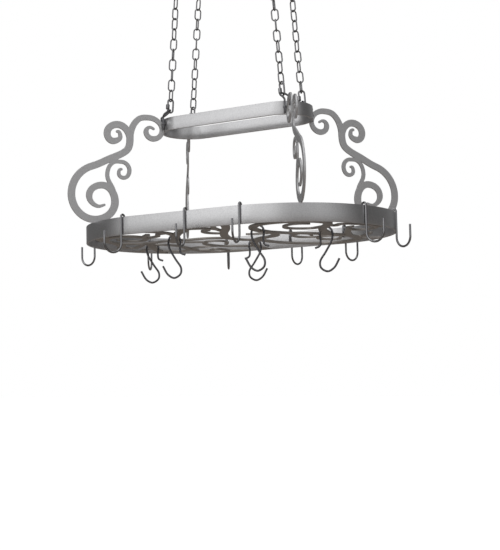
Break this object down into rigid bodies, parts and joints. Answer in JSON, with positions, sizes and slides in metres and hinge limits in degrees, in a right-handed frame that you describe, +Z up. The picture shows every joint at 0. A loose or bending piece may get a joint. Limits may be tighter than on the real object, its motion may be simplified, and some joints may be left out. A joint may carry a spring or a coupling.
{
  "type": "hanging pot rack",
  "caption": "Oval pot rack hung on chains, with a scrollwork grille, scroll arms to a small upper oval, hooks over the rim and S-hooks on the grille.",
  "frame": {"origin": "middle of the four chains' upper ends, where the rack hangs from", "axes": "+Z up, +X along the ovals, front at -Y"},
  "size_m": [1.013, 0.7252, 0.8504],
  "materials": {
    "silver": "satin silver paint",
    "arm_silver": "fine-grained silver paint",
    "grille_grey": "fine-grained silver paint, its underside in shade",
    "dark_steel": "dark polished rod",
    "bright_steel": "zinc-plated"
  },
  "bodies": {
    "rack": {"lower_band": "silver", "upper_band": "silver", "scroll_arm_front_left": "arm_silver", "scroll_arm_back_left": "arm_silver", "scroll_arm_front_right": "arm_silver", "scroll_arm_back_right": "arm_silver", "grille": "grille_grey", "hanging_eye_front_left": "dark_steel", "eye_nut_inner_front_left": "dark_steel", "eye_nut_outer_front_left": "dark_steel", "quick_link_front_left": "bright_steel", "chain_front_left": "bright_steel", "hanging_eye_back_left": "dark_steel", "eye_nut_inner_back_left": "dark_steel", "eye_nut_outer_back_left": "dark_steel", "quick_link_back_left": "bright_steel", "chain_back_left": "bright_steel", "hanging_eye_front_right": "dark_steel", "eye_nut_inner_front_right": "dark_steel", "eye_nut_outer_front_right": "dark_steel", "quick_link_front_right": "bright_steel", "chain_front_right": "bright_steel", "hanging_eye_back_right": "dark_steel", "eye_nut_inner_back_right": "dark_steel", "eye_nut_outer_back_right": "dark_steel", "quick_link_back_right": "bright_steel", "chain_back_right": "bright_steel"},
    "band_hook_front_1_body": {"band_hook_front_1": "dark_steel"},
    "band_hook_front_2_body": {"band_hook_front_2": "dark_steel"},
    "band_hook_front_3_body": {"band_hook_front_3": "dark_steel"},
    "band_hook_front_4_body": {"band_hook_front_4": "dark_steel"},
    "band_hook_front_5_body": {"band_hook_front_5": "dark_steel"},
    "band_hook_end_right_body": {"band_hook_end_right": "dark_steel"},
    "band_hook_back_1_body": {"band_hook_back_1": "dark_steel"},
    "band_hook_back_2_body": {"band_hook_back_2": "dark_steel"},
    "band_hook_back_3_body": {"band_hook_back_3": "dark_steel"},
    "band_hook_end_left_body": {"band_hook_end_left": "dark_steel"},
    "s_hook_1_body": {"s_hook_1": "dark_steel"},
    "s_hook_2_body": {"s_hook_2": "dark_steel"},
    "s_hook_3_body": {"s_hook_3": "dark_steel"},
    "s_hook_4_body": {"s_hook_4": "dark_steel"},
    "s_hook_5_body": {"s_hook_5": "dark_steel"},
    "sleeve_front_left_body": {"sleeve_front_left": "bright_steel"},
    "sleeve_back_left_body": {"sleeve_back_left": "bright_steel"},
    "sleeve_front_right_body": {"sleeve_front_right": "bright_steel"},
    "sleeve_back_right_body": {"sleeve_back_right": "bright_steel"}
  },
  "joints": [
    {"name": "band_hook_front_1_lift", "type": "slide", "parent": "rack", "child": "band_hook_front_1_body", "axis": [0, 0, 1], "range_m": [0, 0.045]},
    {"name": "band_hook_front_2_lift", "type": "slide", "parent": "rack", "child": "band_hook_front_2_body", "axis": [0, 0, 1], "range_m": [0, 0.045]},
    {"name": "band_hook_front_3_lift", "type": "slide", "parent": "rack", "child": "band_hook_front_3_body", "axis": [0, 0, 1], "range_m": [0, 0.045]},
    {"name": "band_hook_front_4_lift", "type": "slide", "parent": "rack", "child": "band_hook_front_4_body", "axis": [0, 0, 1], "range_m": [0, 0.045]},
    {"name": "band_hook_front_5_lift", "type": "slide", "parent": "rack", "child": "band_hook_front_5_body", "axis": [0, 0, 1], "range_m": [0, 0.045]},
    {"name": "band_hook_end_right_lift", "type": "slide", "parent": "rack", "child": "band_hook_end_right_body", "axis": [0, 0, 1], "range_m": [0, 0.045]},
    {"name": "band_hook_back_1_lift", "type": "slide", "parent": "rack", "child": "band_hook_back_1_body", "axis": [0, 0, 1], "range_m": [0, 0.045]},
    {"name": "band_hook_back_2_lift", "type": "slide", "parent": "rack", "child": "band_hook_back_2_body", "axis": [0, 0, 1], "range_m": [0, 0.045]},
    {"name": "band_hook_back_3_lift", "type": "slide", "parent": "rack", "child": "band_hook_back_3_body", "axis": [0, 0, 1], "range_m": [0, 0.045]},
    {"name": "band_hook_end_left_lift", "type": "slide", "parent": "rack", "child": "band_hook_end_left_body", "axis": [0, 0, 1], "range_m": [0, 0.045]},
    {"name": "s_hook_1_rock", "type": "hinge", "parent": "rack", "child": "s_hook_1_body", "pos_m": [-0.302, 0.014, -0.737], "axis": [0.9056, 0.4242, 0], "range_deg": [-10, 10]},
    {"name": "s_hook_2_rock", "type": "hinge", "parent": "rack", "child": "s_hook_2_body", "pos_m": [-0.156, -0.091, -0.737], "axis": [0.9558, 0.294, 0], "range_deg": [-10, 10]},
    {"name": "s_hook_3_rock", "type": "hinge", "parent": "rack", "child": "s_hook_3_body", "pos_m": [0.14, -0.14, -0.737], "axis": [0.9874, 0.1582, 0], "range_deg": [-10, 10]},
    {"name": "s_hook_4_rock", "type": "hinge", "parent": "rack", "child": "s_hook_4_body", "pos_m": [-0.03, 0.152, -0.737], "axis": [-0.8738, -0.4863, 0], "range_deg": [-10, 10]},
    {"name": "s_hook_5_rock", "type": "hinge", "parent": "rack", "child": "s_hook_5_body", "pos_m": [0.27, 0.01, -0.737], "axis": [-0.9558, -0.294, 0], "range_deg": [-10, 10]},
    {"name": "sleeve_front_left_run", "type": "slide", "parent": "rack", "child": "sleeve_front_left_body", "axis": [0.0797, 0, 0.9968], "range_m": [0, 0.007]},
    {"name": "sleeve_back_left_run", "type": "slide", "parent": "rack", "child": "sleeve_back_left_body", "axis": [0.0797, 0, 0.9968], "range_m": [0, 0.007]},
    {"name": "sleeve_front_right_run", "type": "slide", "parent": "rack", "child": "sleeve_front_right_body", "axis": [-0.0797, 0, 0.9968], "range_m": [0, 0.007]},
    {"name": "sleeve_back_right_run", "type": "slide", "parent": "rack", "child": "sleeve_back_right_body", "axis": [-0.0797, 0, 0.9968], "range_m": [0, 0.007]}
  ]
}
